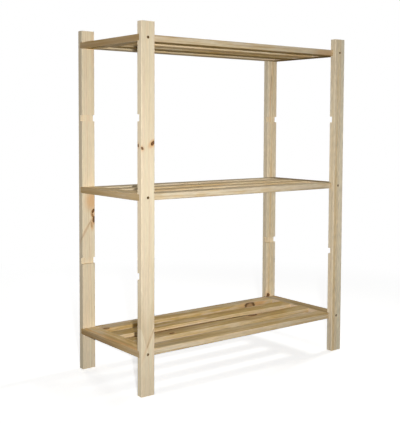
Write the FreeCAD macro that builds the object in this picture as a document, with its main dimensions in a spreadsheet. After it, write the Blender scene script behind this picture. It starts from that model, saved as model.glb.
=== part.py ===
"""Free-standing pine shelving unit: four notched posts and three slatted shelves, screwed together.

Millimetres. +Z is up, X runs along the shelves and the front faces -Y. The origin is the middle of the
footprint, on the floor. Each post has a row of housings across its inner face. The end rails of a shelf rest
in them, and a countersunk screw through the post holds each rail end. Slats run between the end rails, with
a stub tenon at each end glued into a mortise of the rail.
"""
import FreeCAD, Part
import os
import Sketcher

SHELF_NAMES = ("bottom", "middle", "top")

SIZES = {
    # Whole unit
    "unit_width": 700,  # outside to outside of the posts, along the shelves
    "unit_depth": 300,  # front face of the front posts to back face of the back posts
    "unit_height": 900,  # length of a post
    "foot_height": 94,  # floor to the underside of the bottom shelf
    "post_head": 30,  # post that stands above the top shelf
    # Posts
    "post_width": 38,
    "post_thickness": 19,
    "post_edge_radius": 2,
    "housing_depth": 9,  # how far a rail end goes into a post
    "housing_play": 0.4,  # room above a rail in its housing
    "spare_housings": 1,  # unused housings between one shelf and the next
    # Shelf boards
    "board_thickness": 16,
    "board_chamfer": 1.5,  # flat along each long edge
    "rail_width": 43,
    "slat_width": 43,
    "slat_count": 4,
    # Stub tenons on the ends of the slats
    "tenon_length": 12,
    "tenon_width": 31,
    "tenon_thickness": 6,
    "end_room": 1,  # depth left beyond the end of a tenon or a screw
    # Countersunk screws
    "screw_diameter": 3.5,
    "screw_length": 40,
    "screw_head_diameter": 7,
    "screw_head_sink": 0.5,  # head below the face of the post
    "screw_hole_play": 0.5,  # added to the screw's diameter in the post
}

DERIVED = {
    "shelf_pitch": f"(unit_height - post_head - board_thickness - foot_height) / {len(SHELF_NAMES) - 1}",
    "housing_pitch": "shelf_pitch / (spare_housings + 1)",
    "housing_count": f"{len(SHELF_NAMES) - 1} * (spare_housings + 1) + 1",
    "housing_height": "board_thickness + housing_play",
    "post_web": "post_thickness - housing_depth",
    "shelf_depth": "unit_depth - 2 * post_web",
    "slat_length": "unit_width - 2 * rail_width",
    "slat_pitch": "(shelf_depth - slat_width) / (slat_count - 1)",
    "first_slat": "(shelf_depth - slat_width) / 2",
    "post_axis": "(unit_width - post_width) / 2",
    "screw_radius": "screw_diameter / 2",
    "screw_head_radius": "screw_head_diameter / 2",
    "screw_hole_radius": "(screw_diameter + screw_hole_play) / 2",
    "countersink_radius": "screw_head_radius + screw_head_sink",
    "pilot_depth": "screw_length + screw_head_sink - post_web + end_room",
}

UP = FreeCAD.Vector(0, 0, 1)
HALF_TURN = FreeCAD.Rotation(UP, 180)
SHEET = "Sizes"
PARALLEL = 1e-6

doc = FreeCAD.newDocument("shelving_unit")
parts = []


def make_sheet():
    """Fills the spreadsheet: driving sizes as plain numbers, then what follows from them."""
    sheet = doc.addObject("Spreadsheet::Sheet", SHEET)
    cells = {name: str(value) for name, value in SIZES.items()}
    cells.update({name: "=" + formula for name, formula in DERIVED.items()})
    for row, (name, text) in enumerate(cells.items(), start=1):
        sheet.set(f"A{row}", name)
        sheet.set(f"B{row}", text)
        sheet.setAlias(f"B{row}", name)
    doc.recompute()
    return sheet


sizes = make_sheet()


def from_sheet(formula):
    """Turns a formula of size names into one that reads the spreadsheet."""
    words = formula.replace("(", " ( ").replace(")", " ) ").split()
    return " ".join(f"{SHEET}.{word}" if word in SIZES or word in DERIVED else word for word in words)


def value(formula):
    """Works out a formula of size names as a number."""
    return float(sizes.evalExpression(from_sheet(formula)))


def bind(owner, field, formula):
    """Ties a property, constraint or placement of an object to a formula of size names."""
    owner.setExpression(field, from_sheet(formula))


def new_body(label, solids=1):
    """Starts a sub-part that has to end up with the given number of solids."""
    body = doc.addObject("PartDesign::Body", label)
    body.Label = label
    body.AllowCompound = solids > 1
    parts.append((body, solids))
    return body


def place(body, x="0", y="0", z="0", turned=False):
    """Puts a sub-part at a place given by formulas, turned half round the vertical where asked."""
    body.Placement = FreeCAD.Placement(FreeCAD.Vector(), HALF_TURN if turned else FreeCAD.Rotation())
    for axis, formula in zip("xyz", (x, y, z)):
        bind(body, f"Placement.Base.{axis}", formula)


def datum(body, role):
    """Finds one of a body's own origin planes or axes."""
    return next(item for item in body.Origin.OriginFeatures if item.Role == role)


def new_sketch(body, plane, name, right="0", up="0", out="0"):
    """Adds a sketch on an origin plane, moved within it and out of it by formulas."""
    sketch = body.newObject("Sketcher::SketchObject", f"{body.Name}_{name}")
    sketch.AttachmentSupport = [(datum(body, plane), "")]
    sketch.MapMode = "FlatFace"
    for axis, formula in zip("xyz", (right, up, out)):
        bind(sketch, f"AttachmentOffset.Base.{axis}", formula)
    return sketch


def sketch_axis(name):
    """Gives the number by which a sketch knows one of its own axes."""
    return {"H_Axis": -1, "V_Axis": -2}[name]


def sketch_origin():
    """Gives the numbers by which a sketch knows its origin: the start of its level axis."""
    return sketch_axis("H_Axis"), 1


def constrain(sketch, name, formula, kind, *geometry):
    """Adds a dimension to a sketch and ties it to a formula."""
    index = sketch.addConstraint(Sketcher.Constraint(kind, *geometry, value(formula)))
    sketch.renameConstraint(index, name)
    bind(sketch, f"Constraints.{name}", formula)


def closed_outline(sketch, corners):
    """Draws straight lines round the corners and joins their ends."""
    points = [FreeCAD.Vector(x, y, 0) for x, y in corners]
    sides = [Part.LineSegment(start, end) for start, end in zip(points, points[1:] + points[:1])]
    lines = [sketch.addGeometry(side) for side in sides]
    for line, following in zip(lines, lines[1:] + lines[:1]):
        sketch.addConstraint(Sketcher.Constraint("Coincident", line, 2, following, 1))
    return lines


def rectangle(sketch, width, height):
    """Draws a rectangle centred on the sketch's origin."""
    x = value(width) / 2
    y = value(height) / 2
    bottom, right, top, left = closed_outline(sketch, [(-x, -y), (x, -y), (x, y), (-x, y)])
    for line in (bottom, top):
        sketch.addConstraint(Sketcher.Constraint("Horizontal", line))
    for line in (left, right):
        sketch.addConstraint(Sketcher.Constraint("Vertical", line))
    sketch.addConstraint(Sketcher.Constraint("Symmetric", bottom, 1, top, 1, *sketch_origin()))
    constrain(sketch, "width", width, "DistanceX", bottom, 1, bottom, 2)
    constrain(sketch, "height", height, "DistanceY", right, 1, right, 2)


def turned_profile(sketch, points):
    """Draws a closed profile through points given as formulas, for turning about an axis of the sketch."""
    lines = closed_outline(sketch, [(value(x), value(y)) for x, y in points])
    for line, (x, y) in zip(lines, points):
        for formula, kind, axis in ((x, "DistanceX", "V_Axis"), (y, "DistanceY", "H_Axis")):
            if formula == "0":
                sketch.addConstraint(Sketcher.Constraint("PointOnObject", line, 1, sketch_axis(axis)))
            else:
                constrain(sketch, f"{kind}{line}", formula, kind, *sketch_origin(), line, 1)


def single_circle(sketch, diameter):
    """Draws a circle centred on the sketch's origin."""
    circle = sketch.addGeometry(Part.Circle(FreeCAD.Vector(), UP, value(diameter) / 2))
    sketch.addConstraint(Sketcher.Constraint("Coincident", circle, 3, *sketch_origin()))
    constrain(sketch, "diameter", diameter, "Diameter", circle)


def pad(body, sketch, length, symmetric=False):
    """Raises a sketch into a solid."""
    feature = body.newObject("PartDesign::Pad", f"{sketch.Name}_pad")
    feature.Profile = sketch
    feature.SideType = "Symmetric" if symmetric else "One side"
    bind(feature, "Length", length)
    doc.recompute()
    return feature


def cut_volume(body, feature):
    """Recomputes a cut and stops if it took no material away."""
    before = body.Shape.Volume
    body.Tip = feature
    doc.recompute()
    if not body.Shape.Volume < before:
        raise RuntimeError(f"{feature.Name} cuts nothing")
    return feature


def pocket(body, sketch, depth=None):
    """Cuts a sketch into a body, against the sketch's normal, or right through both ways without a depth."""
    feature = body.newObject("PartDesign::Pocket", f"{sketch.Name}_pocket")
    feature.Profile = sketch
    if depth is None:
        feature.Type = "ThroughAll"
        feature.SideType = "Symmetric"
    else:
        bind(feature, "Length", depth)
    return cut_volume(body, feature)


def groove(body, sketch, axis):
    """Cuts a sketch turned about one of its own axes."""
    feature = body.newObject("PartDesign::Groove", f"{sketch.Name}_groove")
    feature.Profile = sketch
    feature.ReferenceAxis = (sketch, [axis])
    return cut_volume(body, feature)


def add_copies(body, kind, feature):
    """Starts a pattern or mirror of one feature, or of everything in the body so far."""
    copies = body.newObject(f"PartDesign::{kind}", f"{feature.Name if feature else body.Name}_{kind}")
    if feature:
        copies.Originals = [feature]
    else:
        copies.TransformMode = "Whole shape"
    body.Tip = copies
    return copies


def repeat(body, axis, spacing, count, feature=None):
    """Repeats a feature, or the whole body, along one of the body's axes."""
    row = add_copies(body, "LinearPattern", feature)
    row.Direction = (datum(body, axis), [""])
    row.Mode = "Spacing"
    bind(row, "Offset", spacing)
    bind(row, "Occurrences", count)
    doc.recompute()


def mirror(body, plane, feature=None):
    """Mirrors a feature, or the whole body, in one of the body's origin planes, and keeps both halves."""
    copy = add_copies(body, "Mirrored", feature)
    copy.MirrorPlane = (datum(body, plane), [""])
    doc.recompute()


def edge_names(feature, wanted):
    """Names the edges of a feature's shape that pass a test."""
    return [f"Edge{number}" for number, edge in enumerate(feature.Shape.Edges, start=1) if wanted(edge)]


def is_along(edge, direction):
    """Tells whether an edge starts out along a direction."""
    return edge.tangentAt(0).cross(direction).Length < PARALLEL


def ease_edges(body, blank, direction, kind, field, size):
    """Rounds or chamfers the edges of a blank that run along a direction, as on planed timber."""
    eased = body.newObject(f"PartDesign::{kind}", f"{blank.Name}_eased")
    eased.Base = (blank, edge_names(blank, lambda edge: is_along(edge, direction)))
    bind(eased, field, size)
    body.Tip = eased
    doc.recompute()


def round_edges(body, blank, direction, radius):
    ease_edges(body, blank, direction, "Fillet", "Radius", radius)


def chamfer_edges(body, blank, direction, size):
    ease_edges(body, blank, direction, "Chamfer", "Size", size)


def signed(sign, formula):
    """Gives a formula for one side of the middle: -1 for left or front, 1 for right or back."""
    return formula if sign > 0 else f"0 - {formula}"


def make_post(label, side, end):
    """Makes a post with its row of housings and its screw holes. Its outer face is -Y before it is turned."""
    body = new_body(label)
    section = new_sketch(body, "XY_Plane", "section")
    rectangle(section, "post_width", "post_thickness")
    round_edges(body, pad(body, section, "unit_height"), UP, "post_edge_radius")

    housing = new_sketch(body, "YZ_Plane", "housing", "post_web / 2", "foot_height + housing_height / 2")
    rectangle(housing, "housing_depth", "housing_height")
    repeat(body, "Z_Axis", "housing_pitch", "housing_count", pocket(body, housing))

    hole_height = "foot_height + board_thickness / 2"
    hole = new_sketch(body, "YZ_Plane", "screw_hole", "0 - post_thickness / 2", hole_height)
    turned_profile(hole, [
        ("0", "0"),
        ("post_thickness", "0"),
        ("post_thickness", "screw_hole_radius"),
        ("countersink_radius - screw_hole_radius", "screw_hole_radius"),
        ("0", "countersink_radius"),
    ])
    repeat(body, "Z_Axis", "shelf_pitch", str(len(SHELF_NAMES)), groove(body, hole, "H_Axis"))

    across = "(unit_depth - post_thickness) / 2"
    place(body, signed(side, "post_axis"), signed(end, across), turned=end > 0)


def make_end_rail(label, side, level):
    """Makes an end rail: mortises in its inner edge, +X before it is turned, and pilot holes in its ends."""
    body = new_body(label)
    section = new_sketch(body, "XZ_Plane", "section")
    rectangle(section, "rail_width", "board_thickness")
    blank = pad(body, section, "shelf_depth", symmetric=True)
    chamfer_edges(body, blank, FreeCAD.Vector(0, 1, 0), "board_chamfer")

    mortise = new_sketch(body, "YZ_Plane", "mortise", "0 - first_slat", "0", "rail_width / 2")
    rectangle(mortise, "tenon_width", "tenon_thickness")
    mortise_cut = pocket(body, mortise, "tenon_length + end_room")
    repeat(body, "Y_Axis", "slat_pitch", "slat_count", mortise_cut)

    outward = "(post_width - rail_width) / 2"
    pilot = new_sketch(body, "XZ_Plane", "pilot", outward, "0", "shelf_depth / 2")
    single_circle(pilot, "screw_diameter")
    mirror(body, "XZ_Plane", pocket(body, pilot, "pilot_depth"))

    place(body, signed(side, "(unit_width - rail_width) / 2"), "0", level, turned=side > 0)


def make_slat(label, index, level):
    """Makes a slat with a stub tenon at each end. Slats count from the front."""
    body = new_body(label)
    section = new_sketch(body, "YZ_Plane", "section")
    rectangle(section, "slat_width", "board_thickness")
    blank = pad(body, section, "slat_length", symmetric=True)
    chamfer_edges(body, blank, FreeCAD.Vector(1, 0, 0), "board_chamfer")

    tenon = new_sketch(body, "YZ_Plane", "tenon", "0", "0", "slat_length / 2")
    rectangle(tenon, "tenon_width", "tenon_thickness")
    mirror(body, "YZ_Plane", pad(body, tenon, "tenon_length"))

    place(body, y=f"{index} * slat_pitch - first_slat", z=level)


def make_screws(label, level):
    """Makes the four countersunk screws of one shelf, one through each post into a rail end."""
    body = new_body(label, solids=4)
    profile = new_sketch(body, "XY_Plane", "profile", "0 - post_axis", "screw_head_sink - unit_depth / 2")
    turned_profile(profile, [
        ("0", "0"),
        ("screw_head_radius", "0"),
        ("screw_radius", "screw_head_radius - screw_radius"),
        ("screw_radius", "screw_length"),
        ("0", "screw_length"),
    ])
    turned = body.newObject("PartDesign::Revolution", f"{label}_turned")
    turned.Profile = profile
    turned.ReferenceAxis = (profile, ["V_Axis"])
    doc.recompute()
    mirror(body, "YZ_Plane")
    mirror(body, "XZ_Plane")
    place(body, z=level)


def make_shelf(name, index):
    """Makes one shelf: two end rails, the slats between them, and the screws that hold it to the posts."""
    level = f"foot_height + board_thickness / 2 + {index} * shelf_pitch"
    make_end_rail(f"{name}_left_end_rail", -1, level)
    make_end_rail(f"{name}_right_end_rail", 1, level)
    for slat in range(int(value("slat_count"))):
        make_slat(f"{name}_slat_{slat + 1}", slat, level)
    make_screws(f"{name}_shelf_screws", level)


def check_and_write():
    """Stops on any failed object or bad shape, then writes each sub-part to its own file."""
    failed = [item.Name for item in doc.Objects if {"Invalid", "Error"} & set(item.State)]
    if failed:
        raise RuntimeError(f"failed objects: {failed}")
    for body, solids in parts:
        shape = body.Shape
        if shape.isNull() or not shape.isValid() or len(shape.Solids) != solids:
            raise RuntimeError(f"{body.Label} has {len(shape.Solids)} solids, or a bad shape")
    os.makedirs("parts", exist_ok=True)
    for body, _ in parts:
        body.Shape.exportStep(f"parts/{body.Label}.step")


def main():
    for end_name, end in (("front", -1), ("back", 1)):
        for side_name, side in (("left", -1), ("right", 1)):
            make_post(f"{end_name}_{side_name}_post", side, end)
    for index, name in enumerate(SHELF_NAMES):
        make_shelf(name, index)
    doc.recompute()
    check_and_write()


main()
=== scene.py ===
"""Looks of a knotty pine shelving unit, laid out as an add-on around its packed construction.

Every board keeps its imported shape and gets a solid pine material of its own: growth rings about the heart of
the tree, fibres along the grain, and knots whose branches run out from that heart. The screws are modelled
here, with their cross recess, thread and point. Tables give millimetres, and Blender has metres.
"""
import math
import random
from dataclasses import dataclass, replace

import bpy
from bpy.props import FloatProperty, FloatVectorProperty, IntProperty, PointerProperty
from mathutils import Matrix, Vector


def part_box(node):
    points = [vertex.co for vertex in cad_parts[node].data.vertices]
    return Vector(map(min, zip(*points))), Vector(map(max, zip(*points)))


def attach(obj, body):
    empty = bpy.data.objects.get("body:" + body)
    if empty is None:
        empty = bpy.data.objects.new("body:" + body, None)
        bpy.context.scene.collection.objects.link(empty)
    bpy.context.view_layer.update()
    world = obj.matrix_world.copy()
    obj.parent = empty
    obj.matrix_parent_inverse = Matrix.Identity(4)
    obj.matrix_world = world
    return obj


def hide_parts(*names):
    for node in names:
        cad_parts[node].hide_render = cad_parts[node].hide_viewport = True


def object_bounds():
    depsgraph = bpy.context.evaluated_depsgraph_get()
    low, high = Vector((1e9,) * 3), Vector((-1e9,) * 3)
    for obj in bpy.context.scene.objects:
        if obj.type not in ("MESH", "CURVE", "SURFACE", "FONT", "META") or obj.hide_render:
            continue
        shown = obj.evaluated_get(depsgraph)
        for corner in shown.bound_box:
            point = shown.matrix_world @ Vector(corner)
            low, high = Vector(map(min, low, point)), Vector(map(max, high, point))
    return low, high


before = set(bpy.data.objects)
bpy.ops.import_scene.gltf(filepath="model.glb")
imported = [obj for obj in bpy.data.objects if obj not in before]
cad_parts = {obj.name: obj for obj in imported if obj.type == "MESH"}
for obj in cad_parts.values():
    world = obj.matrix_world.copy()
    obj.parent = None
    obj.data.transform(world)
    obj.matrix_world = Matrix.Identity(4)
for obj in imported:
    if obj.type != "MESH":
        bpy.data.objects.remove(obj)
cad_low, cad_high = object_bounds()

bl_info = {
    "name": "Pine shelving unit",
    "version": (1, 0, 0),
    "blender": (4, 5, 0),
    "location": "View3D > Sidebar > Shelving",
    "description": "Finishes a knotty pine shelving unit: boards, screws and a plain stage",
    "category": "Object",
}

MM = 0.001
BODY = "root"
SHELVES = ("bottom", "middle", "top")
SIDES = {"left": -1, "right": 1}
PHOTO_SIZE = (400, 423)  # pixels
SENSOR = 36.0  # width in millimetres
FLOOR_SIZE = 60  # metres
FLOOR_NEAR = 0.4  # metres from the middle at which the floor begins to run into the white
OVERHEAD = (0.1, 0.7)  # heights of a direction between which the light from above takes over

# Which way a board lies: the axes of its grain, its width and its thickness
UPRIGHT = (2, 0, 1)
FRONT_TO_BACK = (1, 0, 2)
LENGTHWISE = (0, 1, 2)


class Stretch:
    """Lengths of each noise in the wood along the grain, across it and in depth, in millimetres."""
    rough = (5, 3, 3)
    ripple = (55, 8, 8)
    tint = (300, 9, 9)
    fibre = (60, 0.9, 0.9)
    fleck = (22, 3.2, 3.2)
    streak = (420, 5, 5)
    cloud = (130, 30, 30)
    band = (260, 15, 4.5)
    patch = (55, 17, 9)


class Growth:
    """How rings wander, in millimetres, how uneven years are, and how knots swell and bend the grain."""
    sway = 6
    sway_length = 210
    drift_length = 260
    ripple = 1.6
    year_waves = 0.37
    year_shift = 2.4
    faintest_late = 0.15
    thinnest_branch = 0.2
    thickest_branch = 1.6
    knot_wander = 0.5
    bend = 0.85
    bend_lengths = 4.5
    bend_widths = 2.6


class Edge:
    """Values between which a mark of the wood sets in or fades."""
    # In half sizes of a knot
    core = (0.85, 1.05)
    rim_inner = (0.55, 1.0)
    rim_outer = (1.0, 1.3)
    halo = (0.9, 3.2)
    # In parts of a year
    late_start = (0.25, 0.92)
    late_end = (0.95, 1.0)
    # In sizes of the golden heart, and in radii at which the sapwood begins
    heart = (0.5, 1.5)
    sapwood = (0.7, 1.3)
    # In values of a noise
    tint = (0.35, 0.65)
    cloud = (0.3, 0.7)
    patch = (0.5, 0.64)
    pale_band = (0.3, 0.46)
    dark_band = (0.53, 0.7)
    # In millimetres: into a flame, and from the faces and edges of a board
    flame_start = (0, 5)
    flame_end = (10, 110)
    face = (1, 0.3)
    sawn = (0.2, 1.8)
    # From the inner edge of an end rail, where light is painted
    inner = (1.5, 0.5)


class Share:
    """Strength of each mark of the wood where it is full."""
    pink = 0.5
    tint_in_pink = 0.7
    late = 0.5
    flame = 0.9
    brown_least = 0.45
    brown_clouds = 1.1
    golden = 0.7
    sapwood = 0.5
    patch = 0.65
    pale_band = 0.6
    dark_band = 0.65
    halo = 0.9
    sawn_least = 0.6
    sawn_streaks = 0.5
    # Painted light on the inner edge of an end rail
    inner = 0.7


class Shade:
    """Brightness of plain wood, and how much of each noise is added to it."""
    plain = 0.87
    fibre = 0.16
    cloud = 0.10
    streak = 0.16
    fleck = 0.4
    late_heartwood = 0.8  # latewood in the heartwood, beside the rest of it


class Planed:
    """Relief and gloss of a planed face, and what fibres, latewood and knots change in them."""
    relief = 0.6
    fibre_height = 0.6
    late_height = 0.4
    rim_depth = 0.8
    late_gloss = 0.12
    fibre_roughness = 0.14
    core_gloss = 0.1
    specular = 0.02


class Range:
    """Limits of what is drawn at random for a board."""
    seed = (10, 900)
    heart = (-0.3, 0.3)  # in widths and thicknesses of the board
    lean = (-8, 8)
    knot_along = (-0.45, 0.45)  # in lengths of the board
    knot_across = (-6, 6)  # from the heart
    knot_length = (3, 7)
    knot_width = (2, 4)
    knot_tilt = (-30, 30)
    knot_dark = (0.4, 0.9)


class Turned:
    """Finer points of a screw's shape, in metres and parts."""
    head_land = 0.25 * MM  # height of the upright rim of the head
    shoulder = 0.6  # part of the point's length, and of the core's radius, at which the point draws in
    tip = 0.08  # radius of the tip in radii of the core
    recess_foot = (0.45, 0.8)  # span and width of the recess at its foot, in those at its top
    plain_part = 0.35  # part of the length above the thread
    thread_steps = 18  # for each turn
    same_level = 1e-6
    smooth_angle = math.radians(30)


class Plated:
    """Marks on the zinc of a screw, and painted shade in its recess, in millimetres and shares."""
    patch_size = 2
    patch = (0.35, 0.75)
    patch_film = 0.5
    sunk = (1.6, 0.6)  # below the face of the post
    # Painted shade below that depth
    sunk_shade = 0.7
    lines = 9  # turning lines for each millimetre
    line_depth = 0.02
    line_strength = 0.3
    roughness = 0.38
    patch_roughness = 0.2


@dataclass
class Knot:
    """A branch cut through: where it meets a face, from the board's middle, and its half sizes."""
    along: float
    across: float
    deep: float
    length: float
    width: float
    tilt: float = 0.0  # degrees off the grain
    dark: float = 0.8  # strength of its rim
    halo: float = 0.6  # strength of the resin round it
    core: float = 0.9  # strength of its middle


@dataclass
class Board:
    """How a board was sawn, from its middle, its tone and marks, and the light and shade painted on its seen
    face.
    """
    heart: tuple  # where the heart of the tree lies, across and in depth
    lean: float = 0.0  # how far the heart moves in depth, for each metre along
    stray: float = 0.0  # how far it moves across
    heart_size: float = 0.0  # radius of golden wood about the heart, where it has any
    sapwood: float = 0.0  # radius at which whiter wood begins, where it has any
    tone: float = 1.0  # brightness
    brown: float = 0.0  # share of heartwood
    face_painted_shading: float = 1.0  # painted light and shade: brightness of the face that the photograph shows, beside the rest
    face_brown_and_shade: float = 0.0  # heartwood added on that face, partly as painted warm shade
    mottle: float = 1.0  # strength of bands and patches
    figure: float = 0.9  # strength of streaks and flecks
    sawn: float = 0.0  # strength of one edge's own colour, with the sign of its side
    flame: tuple = ()  # V of dark grain: its point along and across the board, and its rise
    knots: tuple = ()


def board_size(name, lie):
    """Length, width and thickness of a board, in millimetres."""
    low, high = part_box(name)
    return [(high - low)[axis] / MM for axis in lie]


# Where surfaces of the posts and shelf boards lie, from their middle
_, POST_WIDTH, POST_THICKNESS = board_size("front_left_post", UPRIGHT)
_, BOARD_WIDTH, BOARD_THICKNESS = board_size("bottom_slat_1", LENGTHWISE)
POST_FACE = -POST_THICKNESS / 2  # front
POST_SIDE = -POST_WIDTH / 2  # left
BOARD_TOP = BOARD_THICKNESS / 2
BOARD_UNDERSIDE = -BOARD_TOP
BOARD_EDGE = -BOARD_WIDTH / 2  # front of a slat, left of an end rail

# Posts and shelf boards whose heart, tone and marks are chosen to look like the photograph's
POSTS = {
    "front_left_post": Board(
        heart=(34, 26), flame=(-338, -3, 3.2), tone=1.03, mottle=0.12, figure=0.6, knots=(
            Knot(162, 13.5, POST_FACE, 5.4, 3.2, tilt=38, dark=1.0, halo=1.0),
            Knot(150, -17, -9, 3.2, 1.9, tilt=-20, dark=0.9),
            Knot(157, POST_SIDE, 5, 3.8, 2.2, dark=0.9),
            Knot(-307, 8, POST_FACE, 21, 1.3, tilt=20, dark=0.3, halo=0.35, core=0.1),
        )),
    "front_right_post": Board(
        heart=(-10, -7), lean=5, stray=8, heart_size=5, sapwood=15, tone=1.17, mottle=0.12, figure=1.7,
        sawn=-0.25),
    "back_left_post": Board(
        heart=(44, 52), lean=-14, tone=1.06, mottle=0.1, figure=0.6, sawn=-0.4, knots=(
            Knot(-25, 13.5, POST_FACE, 5.5, 2.6, tilt=25, dark=1.0, halo=1.0),
            Knot(-37, 11.5, POST_FACE, 5, 2.0, tilt=-20, dark=0.8, halo=1.0, core=0.6),
            Knot(-48, 15.5, POST_FACE, 7.5, 2.8, tilt=5, dark=1.0, halo=1.0),
            Knot(-62, 9, POST_FACE, 7, 2.0, tilt=-8, dark=0.2, halo=0.8, core=0.3),
            Knot(-74, -8, POST_FACE, 27, 1.5, tilt=26, dark=0.3, halo=0.4, core=0.1),
            Knot(2, 11, POST_FACE, 12, 7, dark=0.0, halo=0.8, core=0.0),
        )),
    "back_right_post": Board(
        heart=(-3.5, -6), stray=14, heart_size=5, sapwood=18, tone=1.12, mottle=0.12, figure=1.6, sawn=-0.4,
        knots=(
            Knot(-336, -7, POST_FACE, 4.6, 4.2, dark=0.9),
            Knot(330, -5, POST_FACE, 34, 1.0, tilt=2, dark=0.25, halo=0.5, core=0.2),
        )),
}
BOARDS = {
    "bottom_left_end_rail": Board(
        heart=(-14, -34), tone=1.14, brown=0.7, face_painted_shading=0.95, sawn=0.68, knots=(
            Knot(-20, -14, BOARD_TOP, 110, 2.2, dark=0.0, halo=0.6, core=0.0),
            Knot(70, BOARD_EDGE, BOARD_UNDERSIDE, 90, 2.2, dark=0.3, halo=0.2, core=0.35),
        )),
    "bottom_slat_2": Board(
        heart=(-12, -34), lean=10, tone=1.07, brown=0.6, face_painted_shading=0.83, face_brown_and_shade=0.38, knots=(
            Knot(116, 15, BOARD_TOP, 15, 8, dark=0.7, halo=0.7, core=0.7),
            Knot(-186, -8, BOARD_TOP, 7, 3.5, dark=0.9),
        )),
    "bottom_slat_3": Board(
        heart=(20, 0), lean=4, tone=1.2, brown=0.45, face_painted_shading=0.74, face_brown_and_shade=0.65, knots=(
            # Not a knot: a painted shadow line low on the front face, where the slat in front shades it
            Knot(-65, BOARD_EDGE, -3, 190, 1.8, dark=0.8, halo=0.1, core=0.75),
        )),
    "bottom_slat_4": Board(
        heart=(10, -30), lean=-14, tone=1.07, brown=0.82, face_painted_shading=0.87, face_brown_and_shade=-0.25, knots=(
            Knot(213, BOARD_EDGE, -5, 17, 11, dark=0.9, halo=0.6, core=0.4),
            Knot(250, BOARD_EDGE, 3, 14, 3, dark=0.0, halo=0.8, core=0.0),
            Knot(-296, -18, BOARD_TOP, 9, 4.0, dark=0.5, halo=0.4, core=0.6),
        )),
    "top_slat_1": Board(
        heart=(4, 1), lean=3, tone=0.95, brown=0.12, face_painted_shading=1.05, face_brown_and_shade=0.85, mottle=0.8, knots=(
            Knot(290, BOARD_EDGE, -3, 26, 5, dark=0.0, halo=0.6, core=0.0),
            Knot(-120, 9, BOARD_TOP, 6, 3.5, tilt=15, dark=0.8),
            Knot(190, -3, BOARD_TOP, 5, 3, tilt=-10, dark=0.6),
        )),
}

# Tones of the boards whose heart and knots are drawn at random, and the light and shade painted on their seen
# faces
DRAWN_TONES = {
    "bottom_slat_1": {"tone": 1.03, "brown": 0.25, "face_painted_shading": 0.86, "face_brown_and_shade": 0.45},
    "bottom_right_end_rail": {"tone": 0.92, "brown": 0.5, "face_painted_shading": 0.8},
    "middle_slat_1": {"tone": 0.97, "face_painted_shading": 1.02, "face_brown_and_shade": 0.08, "mottle": 0.8},
    "middle_slat_2": {"tone": 1.1, "brown": 0.4, "face_painted_shading": 0.97, "face_brown_and_shade": 0.12, "mottle": 0.7},
    "middle_slat_3": {"tone": 1.1, "brown": 0.35, "face_painted_shading": 0.88, "face_brown_and_shade": 0.08, "mottle": 0.7},
    "middle_slat_4": {"tone": 1.0, "face_painted_shading": 0.91, "mottle": 0.5},
    "middle_left_end_rail": {"tone": 1.16, "brown": 0.48, "face_painted_shading": 1.02, "face_brown_and_shade": 0.05},
    "middle_right_end_rail": {"tone": 0.9, "brown": 0.35, "face_painted_shading": 0.5, "face_brown_and_shade": 0.3},
    "top_slat_2": {"tone": 1.12, "brown": 0.4, "face_painted_shading": 1.35, "face_brown_and_shade": 0.2},
    "top_slat_3": {"tone": 0.72, "brown": 0.55, "face_painted_shading": 1.2, "face_brown_and_shade": 0.4},
    "top_slat_4": {"tone": 1.0, "brown": 0.2, "face_painted_shading": 1.25},
    "top_left_end_rail": {"tone": 1.17, "brown": 0.78, "face_painted_shading": 0.97},
    "top_right_end_rail": {"tone": 0.9, "brown": 0.45, "face_painted_shading": 0.71, "face_brown_and_shade": 0.6},
}

# Strength of the sawn edge on each shelf's end rails, where a board has none of its own
SAWN = {"bottom": 0.95, "middle": 0.7, "top": 0.95}


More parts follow.
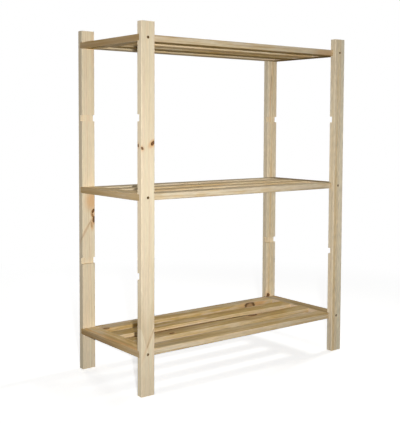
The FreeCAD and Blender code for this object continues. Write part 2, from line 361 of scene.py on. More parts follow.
class PineSettings(bpy.types.PropertyGroup):
    """Colours and growth of the timber."""
    earlywood: FloatVectorProperty(
        name="Earlywood", description="Pale spring growth between the ring lines",
        subtype="COLOR", min=0, max=1, default=(0.80, 0.70, 0.50))
    latewood: FloatVectorProperty(
        name="Latewood", description="Dense summer growth that draws the ring lines",
        subtype="COLOR", min=0, max=1, default=(0.60, 0.44, 0.25))
    heartwood: FloatVectorProperty(
        name="Heartwood", description="Browner wood near the heart of the tree",
        subtype="COLOR", min=0, max=1, default=(0.61, 0.41, 0.15))
    golden: FloatVectorProperty(
        name="Golden", description="Yellower wood about the heart of a post, and in patches",
        subtype="COLOR", min=0, max=1, default=(0.72, 0.53, 0.27))
    band: FloatVectorProperty(
        name="Band", description="Reddish brown bands along the boards",
        subtype="COLOR", min=0, max=1, default=(0.46, 0.29, 0.13))
    sapwood: FloatVectorProperty(
        name="Sapwood", description="Whiter wood far from the heart",
        subtype="COLOR", min=0, max=1, default=(0.80, 0.74, 0.58))
    knot_heart: FloatVectorProperty(
        name="Knot", description="Wood of a branch cut through",
        subtype="COLOR", min=0, max=1, default=(0.16, 0.068, 0.026))
    knot_rim: FloatVectorProperty(
        name="Knot rim", description="Bark and resin round a knot",
        subtype="COLOR", min=0, max=1, default=(0.07, 0.032, 0.013))
    knot_halo: FloatVectorProperty(
        name="Knot halo", description="Resin-soaked grain that flows round a knot",
        subtype="COLOR", min=0, max=1, default=(0.70, 0.40, 0.17))
    # Blush also paints light on the end rails' inner edges
    blush: FloatVectorProperty(
        name="Blush", description="Pinker years, pale bands and the end rails' inner edges",
        subtype="COLOR", min=0, max=1, default=(0.82, 0.64, 0.46))
    sawn_edge: FloatVectorProperty(
        name="Sawn edge", description="Outer edges left from the saw, darker than the planed faces",
        subtype="COLOR", min=0, max=1, default=(0.37, 0.24, 0.115))
    grey_edge: FloatVectorProperty(
        name="Grey edge", description="Left edges of posts, greyer than their faces",
        subtype="COLOR", min=0, max=1, default=(0.40, 0.34, 0.26))
    ring_spacing: FloatProperty(
        name="Ring spacing", description="Mean width of a year's growth",
        unit="LENGTH", min=0.0005, default=0.0054)
    roughness: FloatProperty(
        name="Roughness", description="Roughness of the planed face",
        subtype="FACTOR", min=0, max=1, default=0.85)
    grain_depth: FloatProperty(
        name="Grain depth", description="Height of the raised grain",
        unit="LENGTH", min=0, default=0.00025)


class ScrewSettings(bpy.types.PropertyGroup):
    """Sizes and finish of the countersunk screws."""
    length: FloatProperty(
        name="Length", description="From the face of the head to the point",
        unit="LENGTH", min=0.01, default=40 * MM)
    thread_diameter: FloatProperty(
        name="Thread diameter", description="Over the crest of the thread",
        unit="LENGTH", min=0.001, default=3.5 * MM)
    core_diameter: FloatProperty(
        name="Core diameter", description="Shank under the thread",
        unit="LENGTH", min=0.001, default=2.5 * MM)
    pitch: FloatProperty(
        name="Pitch", description="Rise of the thread in one turn",
        unit="LENGTH", min=0.0005, default=1.7 * MM)
    point: FloatProperty(
        name="Point", description="Length of the tapered point",
        unit="LENGTH", min=0.001, default=6 * MM)
    recess_span: FloatProperty(
        name="Recess span", description="Cross recess from tip to tip",
        unit="LENGTH", min=0.001, default=4.0 * MM)
    recess_width: FloatProperty(
        name="Recess width", description="Width of one wing of the cross recess",
        unit="LENGTH", min=0.0002, default=0.9 * MM)
    recess_depth: FloatProperty(
        name="Recess depth", description="Depth of the cross recess",
        unit="LENGTH", min=0.0002, default=1.6 * MM)
    sides: IntProperty(
        name="Sides", description="Flats round the head and shank", min=8, default=36)
    plating: FloatVectorProperty(
        name="Plating", description="Dull yellow zinc plating",
        subtype="COLOR", min=0, max=1, default=(0.17, 0.105, 0.045))
    # Darker film in patches, and painted shade down in the recess
    tarnish_and_shade: FloatVectorProperty(
        name="Tarnish", description="Darker film in the recess and in patches",
        subtype="COLOR", min=0, max=1, default=(0.05, 0.03, 0.012))


class StageSettings(bpy.types.PropertyGroup):
    """Floor, lights and camera."""
    floor_color: FloatVectorProperty(
        name="Floor", description="Plain pale floor",
        subtype="COLOR", min=0, max=1, default=(0.9, 0.9, 0.9))
    floor_lift: FloatProperty(
        name="Floor lift", description="Added to the floor near the unit, to bring it near white",
        min=0, default=0.56)
    floor_reach: FloatProperty(
        name="Floor reach", description="Distance at which the floor has run into the white behind it",
        unit="LENGTH", min=0.1, default=1.7)
    floor_bounce: FloatProperty(
        name="Floor bounce", description="Share of the light that the floor throws back up",
        subtype="FACTOR", min=0, max=1, default=0.03)
    fill_color: FloatVectorProperty(
        name="Fill colour", description="Colour of the soft light, a little warm from the wood around it",
        subtype="COLOR", min=0, max=1, default=(1.0, 0.985, 0.94))
    fill: FloatProperty(
        name="Fill", description="Soft light from all round, at the height of the unit", min=0, default=0.38)
    fill_above: FloatProperty(
        name="Fill from above", description="Soft light from overhead", min=0, default=0.15)
    fill_behind: FloatProperty(
        name="Fill from behind", description="How much of the soft light comes from the white backdrop",
        subtype="FACTOR", min=0, max=1, default=0.8)
    key_power: FloatProperty(
        name="Key power", description="Small lamp beside the camera", unit="POWER", min=0, default=7.95)
    key_place: FloatVectorProperty(
        name="Key place", description="Where the small lamp stands", subtype="XYZ", unit="LENGTH",
        default=(-1.335, -1.80, 0.66))
    key_size: FloatProperty(
        name="Key size", description="Width of the small lamp", unit="LENGTH", min=0.01, default=0.05)
    beam: FloatProperty(
        name="Beam", description="Angle over which the key, back and right lamps spread", unit="ROTATION",
        default=math.radians(80))
    back_power: FloatProperty(
        name="Back power", description="Weak lamp at the back, level with the unit", unit="POWER",
        min=0, default=2.9)
    right_power: FloatProperty(
        name="Right power", description="Weak lamp at the right, above the unit", unit="POWER",
        min=0, default=4.2)
    back_place: FloatVectorProperty(
        name="Back place", description="Where the lamp at the back stands", subtype="XYZ", unit="LENGTH",
        default=(0.3, 2.2, 0.6))
    right_place: FloatVectorProperty(
        name="Right place", description="Where the lamp at the right stands", subtype="XYZ", unit="LENGTH",
        default=(2.2, 0.2, 1.8))
    far_size: FloatProperty(
        name="Far size", description="Width of the lamps at the back and the right",
        unit="LENGTH", min=0.01, default=0.4)
    side_power: FloatProperty(
        name="Side power", description="Large weak lamp to the left", unit="POWER", min=0, default=4.3)
    side_place: FloatVectorProperty(
        name="Side place", description="Where the large lamp stands", subtype="XYZ", unit="LENGTH",
        default=(-1.9, -0.35, 0.6))
    side_color: FloatVectorProperty(
        name="Side colour", description="Colour of the large lamp, a little cool as daylight is",
        subtype="COLOR", min=0, max=1, default=(0.93, 0.97, 1.0))
    side_size: FloatProperty(
        name="Side size", description="Width of the large lamp", unit="LENGTH", min=0.01, default=0.8)
    camera_place: FloatVectorProperty(
        name="Camera place", description="Where the camera stands", subtype="XYZ", unit="LENGTH",
        default=(-1.4093, -1.7354, 0.6601))
    camera_turn: FloatProperty(
        name="Camera turn", description="Turn of the camera from straight along the depth of the unit",
        unit="ROTATION", default=math.radians(-37.906))
    camera_dip: FloatProperty(
        name="Camera dip", description="Tilt of the camera below level",
        unit="ROTATION", default=math.radians(3.487))
    camera_roll: FloatProperty(
        name="Camera roll", description="Turn of the camera about its own line of sight",
        unit="ROTATION", default=math.radians(0.235))
    focal_pixels: FloatProperty(
        name="Focal length", description="Focal length in pixels of the picture", min=1, default=805.63)
    sight_row: FloatProperty(
        name="Sight row", description="Row of the picture that the line of sight meets", default=172.26)


class Signal:
    """A value in a node tree. Arithmetic on it adds Math nodes."""

    def __init__(self, graph, socket):
        self.graph = graph
        self.socket = socket

    def maths(self, operation, first, *others):
        return self.graph.node("ShaderNodeMath", {"operation": operation}, dict(enumerate((first, *others))))

    def __add__(self, other):
        return self.maths("ADD", self, other)

    def __radd__(self, other):
        return self.maths("ADD", other, self)

    def __sub__(self, other):
        return self.maths("SUBTRACT", self, other)

    def __rsub__(self, other):
        return self.maths("SUBTRACT", other, self)

    def __mul__(self, other):
        return self.maths("MULTIPLY", self, other)

    def __rmul__(self, other):
        return self.maths("MULTIPLY", other, self)

    def __truediv__(self, other):
        return self.maths("DIVIDE", self, other)

    def __rtruediv__(self, other):
        return self.maths("DIVIDE", other, self)

    def __pow__(self, other):
        return self.maths("POWER", self, other)

    def __abs__(self):
        return self.maths("ABSOLUTE", self)

    def root(self):
        return self.maths("SQRT", self)

    def exp(self):
        return self.maths("EXPONENT", self)

    def floor(self):
        return self.maths("FLOOR", self)

    def fraction(self):
        return self.maths("FRACT", self)

    def larger(self, other):
        return self.maths("MAXIMUM", self, other)

    def smaller(self, other):
        return self.maths("MINIMUM", self, other)

    def smooth(self, low, high):
        """Rises smoothly from 0 at low to 1 at high."""
        ease = {"interpolation_type": "SMOOTHSTEP"}
        limits = {"Value": self, "From Min": low, "From Max": high}
        return self.graph.node("ShaderNodeMapRange", ease, limits)

    def output(self, name):
        """Another output of the same node."""
        return Signal(self.graph, self.socket.node.outputs[name])


class Graph:
    """The node tree of a material or of the world, cleared and ready to be filled."""

    def __init__(self, owner):
        owner.use_nodes = True
        self.tree = owner.node_tree
        self.tree.nodes.clear()

    def node(self, kind, settings=None, inputs=None, output=0):
        """Adds any node: its settings first, then the values or links of its sockets."""
        made = self.tree.nodes.new(kind)
        for name, setting in (settings or {}).items():
            setattr(made, name, setting)
        for name, given in (inputs or {}).items():
            if isinstance(given, Signal):
                self.tree.links.new(given.socket, made.inputs[name])
            else:
                made.inputs[name].default_value = given
        return Signal(self, made.outputs[output]) if made.outputs else made

    def noise(self, place, stretch, shift=0.0, detail=2.0):
        """Noise between 0 and 1, drawn out by three lengths and shifted along the first."""
        x, y, z = (part / length for part, length in zip(place, stretch))
        spot = self.node("ShaderNodeCombineXYZ", None, {"X": x + shift, "Y": y, "Z": z})
        return self.node("ShaderNodeTexNoise", None, {"Vector": spot, "Scale": 1, "Detail": detail})

    def wave(self, along, detail=1.0):
        """Noise between 0 and 1 along a line."""
        return self.node("ShaderNodeTexNoise", {"noise_dimensions": "1D"},
                         {"W": along, "Scale": 1, "Detail": detail})

    def dice(self, number):
        """A value between 0 and 1 drawn for each whole number."""
        return self.node("ShaderNodeTexWhiteNoise", {"noise_dimensions": "1D"}, {"W": number})

    def mix(self, share, first, second):
        """Blends two colours, in sockets that are known by number because they share their names."""
        color = {"data_type": "RGBA"}
        return self.node("ShaderNodeMix", color, {0: share, 6: rgba(first), 7: rgba(second)}, output=2)

    def brighten(self, color, factor):
        return self.node("ShaderNodeHueSaturation", None, {"Value": factor, "Color": rgba(color)})

    def coordinates(self, kind):
        """Texture coordinates of a kind, as three signals."""
        vector = self.node("ShaderNodeTexCoord", output=kind)
        x = self.node("ShaderNodeSeparateXYZ", None, {"Vector": vector})
        return x, x.output("Y"), x.output("Z")

    def place(self):
        """The place on the piece, in metres, as three signals."""
        return self.coordinates("Object")

    def surface(self, **sockets):
        """Ends the tree in a Principled shader. Socket names have _ for a space."""
        inputs = {name.replace("_", " "): given for name, given in sockets.items()}
        self.shade(self.node("ShaderNodeBsdfPrincipled", None, inputs))

    def shade(self, shader, kind="ShaderNodeOutputMaterial"):
        self.node(kind, None, {"Surface": shader})


def rgba(color):
    """Gives a colour its fourth number, or passes a signal on."""
    return color if isinstance(color, Signal) else (*color, 1.0)


@dataclass
class Grain:
    """What the wood of a board is like at a place, as signals. Core, rim and halo are its knots'."""
    rough: Signal
    radius: Signal
    late: Signal
    pink: Signal
    fibre: Signal
    fleck: Signal
    streak: Signal
    cloud: Signal
    band: Signal
    patch: Signal
    core: Signal
    rim: Signal
    halo: Signal


def seen_side(name):
    """1 where the photograph shows the top of a shelf board, and -1 where it shows the underside."""
    return -1 if name.startswith("top") else 1


def branch(place, knot, heart):
    """Distance from a branch in knot sizes, to its side and along the grain, and the way it runs out."""
    along, across, deep = place
    out = Vector((knot.across - heart[0], knot.deep - heart[1]))
    reach = out.length
    out.normalize()
    from_heart = (across - heart[0]) * out.x + (deep - heart[1]) * out.y
    swell = (from_heart / reach).larger(Growth.thinnest_branch).smaller(Growth.thickest_branch)
    side = (deep - knot.deep) * out.x - (across - knot.across) * out.y
    run = along - knot.along
    tilt = math.radians(knot.tilt)
    u = (run * math.cos(tilt) + side * math.sin(tilt)) / knot.length
    v = (side * math.cos(tilt) - run * math.sin(tilt)) / knot.width
    return (u * u + v * v).root() / swell, side, run, out


def knot_marks(board, place, rough):
    """The place as the grain bends round a board's knots, and the knots' cores, rims and halos."""
    along, across, deep = place
    core, rim, halo = 0.0, 0.0, 0.0
    for knot in board.knots:
        around, side, run, out = branch(place, knot, board.heart)
        lengths_off = run / (knot.length * Growth.bend_lengths)
        widths_off = side / (knot.width * Growth.bend_widths)
        push = side * (-1 * (lengths_off ** 2 + widths_off ** 2)).exp() * Growth.bend
        across = across + push * out.y
        deep = deep - push * out.x
        edge = around + rough * Growth.knot_wander
        core = ((1 - edge.smooth(*Edge.core)) * knot.core).larger(core)
        rim = (edge.smooth(*Edge.rim_inner) * (1 - edge.smooth(*Edge.rim_outer)) * knot.dark).larger(rim)
        halo = ((1 - edge.smooth(*Edge.halo)) * knot.halo).larger(halo)
    return (along, across, deep), core, rim, halo


def growth_rings(graph, board, place, seed):
    """Distance from the heart of the tree, the number of the year, and the share of latewood."""
    spacing = bpy.context.scene.shelving_pine.ring_spacing / MM
    along, across, deep = place
    sway = (graph.wave(along / Growth.sway_length + seed) - 0.5) * Growth.sway
    drift = (graph.wave(along / Growth.drift_length - seed) - 0.5) * Growth.sway
    y = across - board.heart[0] - along * (board.stray * MM) + sway
    z = deep - board.heart[1] - along * (board.lean * MM) + drift
    ripple = graph.noise(place, Stretch.ripple, seed) - 0.5
    radius = (y * y + z * z).root() + ripple * Growth.ripple
    years = radius / spacing
    years = years + (graph.wave(years * Growth.year_waves + seed) - 0.5) * Growth.year_shift
    number = years.floor()
    year = years.fraction()
    late = year.smooth(*Edge.late_start) ** 2 * (1 - year.smooth(*Edge.late_end))
    dense = graph.dice(number + seed) ** 2 * (1 - Growth.faintest_late) + Growth.faintest_late
    return radius, number, late * dense


def flame_mark(flame, along, across):
    """Dark grain inside a V that opens up the board."""
    apex, line, rise = flame
    inside = along - apex - abs(across - line) * rise
    return inside.smooth(*Edge.flame_start) * (1 - inside.smooth(*Edge.flame_end)) * Share.flame


def read_grain(graph, board, place, seed):
    """Works out the grain of a board at a place."""
    along, across, _ = place
    rough = graph.noise(place, Stretch.rough, seed) - 0.5
    bent, core, rim, halo = knot_marks(board, place, rough)
    radius, year, late = growth_rings(graph, board, bent, seed)
    if board.flame:
        late = late.larger(flame_mark(board.flame, along, across))
    tint = graph.noise(bent, Stretch.tint, -seed).smooth(*Edge.tint)
    return Grain(
        rough=rough,
        radius=radius,
        late=late,
        pink=tint * Share.tint_in_pink + graph.dice(year - seed) * (1 - Share.tint_in_pink),
        fibre=graph.noise(bent, Stretch.fibre, seed, detail=3),
        fleck=graph.noise(bent, Stretch.fleck, -seed),
        streak=graph.noise(bent, Stretch.streak, seed),
        cloud=graph.noise(place, Stretch.cloud, -seed),
        band=graph.noise(bent, Stretch.band, -seed),
        patch=graph.noise(bent, Stretch.patch, seed),
        core=core,
        rim=rim,
        halo=halo,
    )


def wood_color(graph, board, grain, seen_face):
    """Colour of a board's wood and knots, with painted light and shade, and browner wood, on the face that the
    photograph shows.
    """
    pine = bpy.context.scene.shelving_pine
    wood = graph.mix(grain.pink * Share.pink, pine.earlywood, pine.blush)
    wood = graph.mix(grain.late * Share.late, wood, pine.latewood)
    brown = board.brown * (Share.brown_least + grain.cloud.smooth(*Edge.cloud) * Share.brown_clouds)
    # On the seen face: added heartwood, partly standing for painted warm shade
    brown = brown + (grain.streak - 0.5) * board.figure + seen_face * board.face_brown_and_shade
    late_heartwood = [part * Shade.late_heartwood for part in pine.heartwood]
    heartwood = graph.mix(grain.late, pine.heartwood, late_heartwood)
    wood = graph.mix(brown.larger(0).smaller(1), wood, heartwood)
    if board.heart_size:
        golden = 1 - grain.radius.smooth(*(board.heart_size * edge for edge in Edge.heart))
        wood = graph.mix(golden * Share.golden, wood, pine.golden)
    if board.sapwood:
        whiter = grain.radius.smooth(*(board.sapwood * edge for edge in Edge.sapwood))
        wood = graph.mix(whiter * Share.sapwood, wood, pine.sapwood)
    patch = grain.patch.smooth(*Edge.patch)
    pale_band = 1 - grain.band.smooth(*Edge.pale_band)
    dark_band = grain.band.smooth(*Edge.dark_band)
    wood = graph.mix(patch * (Share.patch * board.mottle), wood, pine.golden)
    wood = graph.mix(pale_band * (Share.pale_band * board.mottle), wood, pine.blush)
    wood = graph.mix(dark_band * (Share.dark_band * board.mottle), wood, pine.band)
    wood = graph.mix(grain.halo * Share.halo, wood, pine.knot_halo)
    figure = ((grain.streak - 0.5) * Shade.streak + (grain.fleck - 0.5) * Shade.fleck) * board.figure
    shade = Shade.plain + grain.fibre * Shade.fibre + grain.cloud * Shade.cloud + figure
    # Painted light and shade: the seen face is made brighter or darker than the rest of the board
    wood = graph.brighten(wood, board.tone * shade * (1 + seen_face * (board.face_painted_shading - 1)))
    wood = graph.mix(grain.core, wood, pine.knot_heart)
    return graph.mix(grain.rim, wood, pine.knot_rim)


def edge_color(graph, wood, board, grain, lie, across, width):
    """Gives one edge of a board its own colour, and paints light on the inner edge of an end rail in a paler
    colour.
    """
    pine = bpy.context.scene.shelving_pine
    inside = width / 2 - across * math.copysign(1, board.sawn)
    sawn = 1 - (inside + grain.rough).smooth(*Edge.sawn)
    sawn = sawn * abs(board.sawn) * (Share.sawn_least + grain.streak * Share.sawn_streaks)
    wood = graph.mix(sawn, wood, pine.grey_edge if lie == UPRIGHT else pine.sawn_edge)
    # Painted light: the inner edge of an end rail is made paler
    if lie == FRONT_TO_BACK:
        inner = inside.smooth(*(width - edge for edge in Edge.inner))
        wood = graph.mix(inner * Share.inner, wood, pine.blush)
    return wood


def pine_material(name, board, lie):
    """Solid pine: rings, fibres and knots worked out through the whole board."""
    pine = bpy.context.scene.shelving_pine
    material = bpy.data.materials.new(f"pine_{name}")
    graph = Graph(material)
    low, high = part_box(name)
    middle = (low + high) / 2
    _, width, thickness = board_size(name, lie)
    metres = graph.place()
    place = [(metres[axis] - middle[axis]) / MM for axis in lie]
    _, across, deep = place
    grain = read_grain(graph, board, place, random.Random(name).uniform(*Range.seed))
    seen_face = (deep * seen_side(name)).smooth(*(thickness / 2 - edge for edge in Edge.face))
    wood = wood_color(graph, board, grain, seen_face)
    if board.sawn:
        wood = edge_color(graph, wood, board, grain, lie, across, width)
    height = grain.fibre * Planed.fibre_height + grain.late * Planed.late_height
    height = height - grain.rim * Planed.rim_depth
    relief = {"Height": height, "Strength": Planed.relief, "Distance": pine.grain_depth}
    roughness = pine.roughness - Planed.late_gloss * grain.late
    roughness = roughness + Planed.fibre_roughness * (grain.fibre - 0.5) - Planed.core_gloss * grain.core
    graph.surface(
        Base_Color=wood,
        Roughness=roughness,
        Specular_IOR_Level=Planed.specular,
        Normal=graph.node("ShaderNodeBump", None, relief),
    )
    return material


def drawn_board(name, lie, knot_count):
    """A board sawn at random, the same at each run, with its knots on the face that is turned away."""
    length, width, thickness = board_size(name, lie)
    draw = random.Random(f"{name} board").uniform
    heart = (draw(*Range.heart) * width, draw(*Range.heart) * thickness)
    knots = tuple(
        Knot(
            along=draw(*Range.knot_along) * length,
            across=heart[0] + draw(*Range.knot_across),
            deep=-seen_side(name) * thickness / 2,
            length=draw(*Range.knot_length),
            width=draw(*Range.knot_width),
            tilt=draw(*Range.knot_tilt),
            dark=draw(*Range.knot_dark),
        )
        for _ in range(knot_count))
    return Board(heart, lean=draw(*Range.lean), knots=knots, **DRAWN_TONES[name])


def finish_board(name, board, lie):
    """Gives a packed board its pine."""
    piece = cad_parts[name]
    piece.data.materials.clear()
    piece.data.materials.append(pine_material(name, board, lie))


def select(*pieces):
    """Selects these pieces and no other, in object mode. The first one is active."""
    if bpy.context.object and bpy.context.object.mode != "OBJECT":
        bpy.ops.object.mode_set(mode="OBJECT")
    bpy.ops.object.select_all(action="DESELECT")
    for piece in pieces:
        piece.select_set(True)
    if pieces:
        bpy.context.view_layer.objects.active = pieces[0]


def apply_modifier(piece, modifier):
    bpy.context.view_layer.objects.active = piece
    bpy.ops.object.modifier_apply(modifier=modifier.name)


def select_vertices(piece, wanted):
    """Selects, in edit mode, the vertices whose place passes a test."""
    bpy.ops.mesh.select_all(action="DESELECT")
    bpy.ops.object.mode_set(mode="OBJECT")
    for vertex in piece.data.vertices:
        vertex.select = wanted(vertex.co)
    bpy.ops.object.mode_set(mode="EDIT")


def draw_shank(head_radius, screws):
    """Draws head, shank and point down from the rim of the head, which lies at the origin."""
    core = screws.core_diameter / 2
    neck = head_radius - core
    select()
    bpy.ops.mesh.primitive_circle_add(vertices=screws.sides, radius=head_radius, location=(0, 0, 0))
    shank = bpy.context.object
    sections = (
        (Turned.head_land, head_radius),
        (neck, core),
        (screws.length - screws.point - neck - Turned.head_land, core),
        (screws.point * Turned.shoulder, core * Turned.shoulder),
        (screws.point * (1 - Turned.shoulder), core * Turned.tip),
    )
    bpy.ops.object.mode_set(mode="EDIT")
    radius = head_radius
    depth = 0.0
    for drop, next_radius in sections:
        depth -= drop
        bpy.ops.mesh.extrude_region_move(TRANSFORM_OT_translate={"value": (0, 0, -drop)})
        share = next_radius / radius
        bpy.ops.transform.resize(value=(share, share, 1), center_override=(0, 0, depth))
        radius = next_radius
    bpy.ops.mesh.edge_face_add()
    select_vertices(shank, lambda place: place.z > -Turned.same_level)
    bpy.ops.mesh.edge_face_add()
    bpy.ops.mesh.select_all(action="SELECT")
    bpy.ops.mesh.normals_make_consistent(inside=False)
    bpy.ops.object.mode_set(mode="OBJECT")
    return shank


def cut_recess(shank, screws):
    """Cuts the two wings of the cross recess into the head, narrower at their foot."""
    for turn in (0, math.pi / 2):
        select()
        bpy.ops.mesh.primitive_cube_add(size=1, location=(0, 0, 0))
        wing = bpy.context.object
        bpy.ops.object.mode_set(mode="EDIT")
        bpy.ops.transform.resize(value=(screws.recess_span, screws.recess_width, 2 * screws.recess_depth))
        select_vertices(wing, lambda place: place.z < 0)
        bpy.ops.transform.resize(
            value=(*Turned.recess_foot, 1), center_override=(0, 0, -screws.recess_depth))
        bpy.ops.object.mode_set(mode="OBJECT")
        wing.rotation_euler.z = turn
        cut = shank.modifiers.new("cross recess", "BOOLEAN")
        cut.operation = "DIFFERENCE"
        cut.solver = "EXACT"
        cut.object = wing
        apply_modifier(shank, cut)
        bpy.data.objects.remove(wing)


def add_thread(shank, screws):
    """Winds a ridge round the shank and joins it on."""
    core = screws.core_diameter / 2
    crest = screws.thread_diameter / 2 - core
    start = screws.length * Turned.plain_part
    turns = int((screws.length - screws.point - start) / screws.pitch)
    select()
    bpy.ops.mesh.primitive_circle_add(vertices=3, radius=crest, rotation=(math.pi / 2, math.pi / 2, 0))
    ridge = bpy.context.object
    bpy.ops.object.transform_apply(rotation=True)
    bpy.ops.object.mode_set(mode="EDIT")
    bpy.ops.transform.translate(value=(core, 0, -start))
    bpy.ops.object.mode_set(mode="OBJECT")
    wind = ridge.modifiers.new("thread", "SCREW")
    wind.axis = "Z"
    wind.screw_offset = -screws.pitch
    wind.iterations = turns
    wind.steps = wind.render_steps = Turned.thread_steps
    apply_modifier(ridge, wind)
    bpy.ops.object.mode_set(mode="EDIT")
    bpy.ops.mesh.select_all(action="SELECT")
    bpy.ops.mesh.fill_holes(sides=3)
    bpy.ops.mesh.normals_make_consistent(inside=False)
    bpy.ops.object.mode_set(mode="OBJECT")
    select(shank, ridge)
    bpy.ops.object.join()


def plated_material(level, axis):
    """Dull yellow zinc, darker in patches, with painted shade down in the recess."""
    screws = bpy.context.scene.shelving_screws
    material = bpy.data.materials.new("yellow_zinc")
    graph = Graph(material)
    place = graph.place()
    x, y, z = place
    patches = graph.noise(place, [Plated.patch_size * MM] * 3, detail=3)
    from_axis = ((abs(x) - axis) ** 2 + (z - level) ** 2).root() / MM
    turning = graph.wave(from_axis * Plated.lines, detail=2)
    # Painted shade where the screw lies below the face of the post
    level_with_post = (abs(y) / MM).smooth(*(-cad_low.y / MM - depth for depth in Plated.sunk))
    film_and_shade = patches.smooth(*Plated.patch) * Plated.patch_film + (1 - level_with_post) * Plated.sunk_shade
    relief = {"Height": turning, "Strength": Plated.line_strength, "Distance": Plated.line_depth * MM}
    graph.surface(
        Base_Color=graph.mix(film_and_shade.smaller(1), screws.plating, screws.tarnish_and_shade),
        Metallic=1.0,
        Roughness=Plated.roughness + Plated.patch_roughness * patches,
        Normal=graph.node("ShaderNodeBump", None, relief),
    )
    return material


def place_screws(master, shelf):
    """Copies the screw to the four posts at one shelf, as one piece."""
    node = f"{shelf}_shelf_screws"
    low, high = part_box(node)
    level = (low.z + high.z) / 2
    axis = high.x - (high.z - low.z) / 2
    draw = random.Random(node)
    copies = []
    for end in (-1, 1):
        for side in (-1, 1):
            select(master)
            bpy.ops.object.duplicate()
            copy = bpy.context.object
            turn = Matrix.Rotation(draw.uniform(0, math.pi), 4, "Z")
            aim = Matrix.Rotation(-end * math.pi / 2, 4, "X") @ turn
            copy.matrix_world = Matrix.Translation((side * axis, end * high.y, level)) @ aim
            bpy.ops.object.transform_apply()
            copies.append(copy)
    select(*copies)
    bpy.ops.object.join()
    piece = bpy.context.object
    piece.name = piece.data.name = f"{shelf}_screws"
    bpy.ops.object.shade_smooth_by_angle(angle=Turned.smooth_angle)
    piece.data.materials.append(plated_material(level, axis))
    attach(piece, BODY)
    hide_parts(node)


def seen_directly(graph):
    """1 where the camera, a reflection or a clear piece looks straight at the stage, and 0 for its light."""
    path = graph.node("ShaderNodeLightPath", output="Is Camera Ray")
    return path.larger(path.output("Is Glossy Ray")).larger(path.output("Is Transmission Ray"))


def floor_material(stage):
    """Floor that is seen pale, with the shadow on it, and runs into the white behind it."""
    material = bpy.data.materials.new("pale_floor")
    graph = Graph(material)
    bounce = graph.node("ShaderNodeBsdfDiffuse", None, {"Color": rgba([stage.floor_bounce] * 3)})
    pale = graph.node("ShaderNodeBsdfDiffuse", None, {"Color": rgba(stage.floor_color)})
    lift = graph.node("ShaderNodeEmission", None, {"Strength": stage.floor_lift})
    white = graph.node("ShaderNodeEmission", None, {"Strength": 1.0})
    near = graph.node("ShaderNodeAddShader", None, {0: pale, 1: lift})
    x, y, _ = graph.place()
    away = (x * x + y * y).root().smooth(FLOOR_NEAR, stage.floor_reach)
    seen = graph.node("ShaderNodeMixShader", None, {0: away, 1: near, 2: white})
    graph.shade(graph.node("ShaderNodeMixShader", None, {0: seen_directly(graph), 1: bounce, 2: seen}))
    return material


def light_world(stage):
    """Soft light, most from the backdrop and least from overhead, and white where it is seen."""
    world = bpy.data.worlds.new("white_studio")
    graph = Graph(world)
    right, back, up = graph.coordinates("Generated")
    backdrop = back * math.cos(stage.camera_turn) - right * math.sin(stage.camera_turn)
    strength = stage.fill + (stage.fill_above - stage.fill) * up.smooth(*OVERHEAD)
    strength = strength * (1 + backdrop * stage.fill_behind)
    fill = graph.node("ShaderNodeBackground", None, {"Color": rgba(stage.fill_color), "Strength": strength})
    white = graph.node("ShaderNodeBackground", None, {"Color": (1, 1, 1, 1), "Strength": 1.0})
    mixed = graph.node("ShaderNodeMixShader", None, {0: seen_directly(graph), 1: fill, 2: white})
    graph.shade(mixed, "ShaderNodeOutputWorld")
    bpy.context.scene.world = world


def lay_floor(stage):
    select()
    bpy.ops.mesh.primitive_plane_add(size=FLOOR_SIZE, location=(0, 0, 0))
    floor = bpy.context.object
    floor.name = "floor"
    floor.data.materials.append(floor_material(stage))


def hang_lamp(name, place, size, power, beam=math.pi, color=(1, 1, 1)):
    """A round lamp aimed at the middle of the unit."""
    target = (cad_low + cad_high) / 2
    bpy.ops.object.light_add(type="AREA", location=place)
    lamp = bpy.context.object
    lamp.name = name
    lamp.rotation_euler = (target - Vector(place)).to_track_quat("-Z", "Y").to_euler()
    lamp.data.shape = "DISK"
    lamp.data.size = size
    lamp.data.energy = power
    lamp.data.spread = beam
    lamp.data.color = color


def set_camera(stage):
    """Stands the camera where the photograph was taken."""
    bpy.ops.object.camera_add()
    camera = bpy.context.object
    turn = Matrix.Rotation(stage.camera_turn, 4, "Z")
    dip = Matrix.Rotation(math.pi / 2 - stage.camera_dip, 4, "X")
    roll = Matrix.Rotation(stage.camera_roll, 4, "Z")
    camera.matrix_world = Matrix.Translation(stage.camera_place) @ turn @ dip @ roll
    _, height = PHOTO_SIZE
    longer = max(PHOTO_SIZE)
    camera.data.sensor_width = SENSOR
    camera.data.lens = stage.focal_pixels / longer * SENSOR
    camera.data.shift_y = (stage.sight_row - height / 2) / longer
    bpy.context.scene.camera = camera


class SHELVING_OT_posts(bpy.types.Operator):
    """Give the four posts their pine"""
    bl_idname = "shelving.posts"
    bl_label = "Finish posts"

    def execute(self, context):
        for name, board in POSTS.items():
            finish_board(name, board, UPRIGHT)
        return {"FINISHED"}


class SHELVING_OT_end_rails(bpy.types.Operator):
    """Give the end rails of the shelves their pine"""
    bl_idname = "shelving.end_rails"
    bl_label = "Finish end rails"

    def execute(self, context):
        for shelf in SHELVES:
            for side, outer in SIDES.items():
                name = f"{shelf}_{side}_end_rail"
                board = BOARDS.get(name) or drawn_board(name, FRONT_TO_BACK, knot_count=1)
                board = replace(board, sawn=(board.sawn or SAWN[shelf]) * outer)
                finish_board(name, board, FRONT_TO_BACK)
        return {"FINISHED"}


class SHELVING_OT_slats(bpy.types.Operator):
    """Give the slats of the shelves their pine"""
    bl_idname = "shelving.slats"
    bl_label = "Finish slats"

    def execute(self, context):
        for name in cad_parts:
            if "_slat_" in name:
                board = BOARDS.get(name) or drawn_board(name, LENGTHWISE, knot_count=2)
                finish_board(name, board, LENGTHWISE)
        return {"FINISHED"}


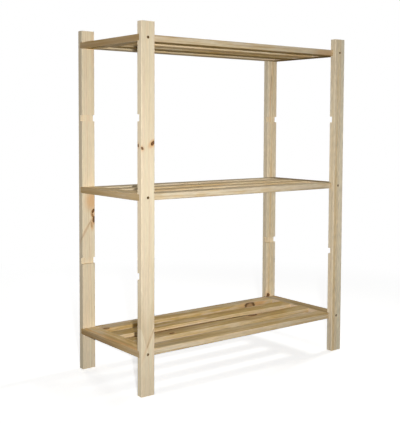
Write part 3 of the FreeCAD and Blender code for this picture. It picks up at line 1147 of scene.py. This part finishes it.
class SHELVING_OT_screws(bpy.types.Operator):
    """Model the countersunk screws and set them in the posts"""
    bl_idname = "shelving.screws"
    bl_label = "Make screws"

    def execute(self, context):
        screws = context.scene.shelving_screws
        low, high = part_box(f"{SHELVES[0]}_shelf_screws")
        master = draw_shank((high.z - low.z) / 2, screws)
        cut_recess(master, screws)
        add_thread(master, screws)
        for shelf in SHELVES:
            place_screws(master, shelf)
        bpy.data.objects.remove(master)
        return {"FINISHED"}


class SHELVING_OT_stage(bpy.types.Operator):
    """Lay the floor, light the unit and set the camera"""
    bl_idname = "shelving.stage"
    bl_label = "Set stage"

    def execute(self, context):
        stage = context.scene.shelving_stage
        context.scene.view_settings.view_transform = "Standard"
        light_world(stage)
        lay_floor(stage)
        hang_lamp("key_lamp", stage.key_place, stage.key_size, stage.key_power, stage.beam)
        hang_lamp("back_lamp", stage.back_place, stage.far_size, stage.back_power, stage.beam)
        hang_lamp("right_lamp", stage.right_place, stage.far_size, stage.right_power, stage.beam)
        hang_lamp("side_lamp", stage.side_place, stage.side_size, stage.side_power, color=stage.side_color)
        set_camera(stage)
        return {"FINISHED"}


class SHELVING_PT_unit(bpy.types.Panel):
    """The unit's pieces and stage, with their settings"""
    bl_label = "Shelving unit"
    bl_space_type = "VIEW_3D"
    bl_region_type = "UI"
    bl_category = "Shelving"

    def draw(self, context):
        for group, _, operators in STEPS:
            box = self.layout.box()
            settings = getattr(context.scene, group)
            for name in settings.bl_rna.properties.keys():
                if name not in ("rna_type", "name"):
                    box.prop(settings, name)
            for operator in operators:
                box.operator(operator.bl_idname)


STEPS = (
    ("shelving_pine", PineSettings, (SHELVING_OT_posts, SHELVING_OT_end_rails, SHELVING_OT_slats)),
    ("shelving_screws", ScrewSettings, (SHELVING_OT_screws,)),
    ("shelving_stage", StageSettings, (SHELVING_OT_stage,)),
)
GROUPS = {name: group for name, group, _ in STEPS}
OPERATORS = tuple(operator for _, _, operators in STEPS for operator in operators)
CLASSES = (*GROUPS.values(), *OPERATORS, SHELVING_PT_unit)


def register():
    for cls in CLASSES:
        bpy.utils.register_class(cls)
    for name, group in GROUPS.items():
        setattr(bpy.types.Scene, name, PointerProperty(type=group))


def unregister():
    for name in GROUPS:
        delattr(bpy.types.Scene, name)
    for cls in reversed(CLASSES):
        bpy.utils.unregister_class(cls)


def main():
    register()
    bpy.ops.shelving.posts()
    bpy.ops.shelving.end_rails()
    bpy.ops.shelving.slats()
    bpy.ops.shelving.screws()
    bpy.ops.shelving.stage()


if __name__ == "__main__":
    main()
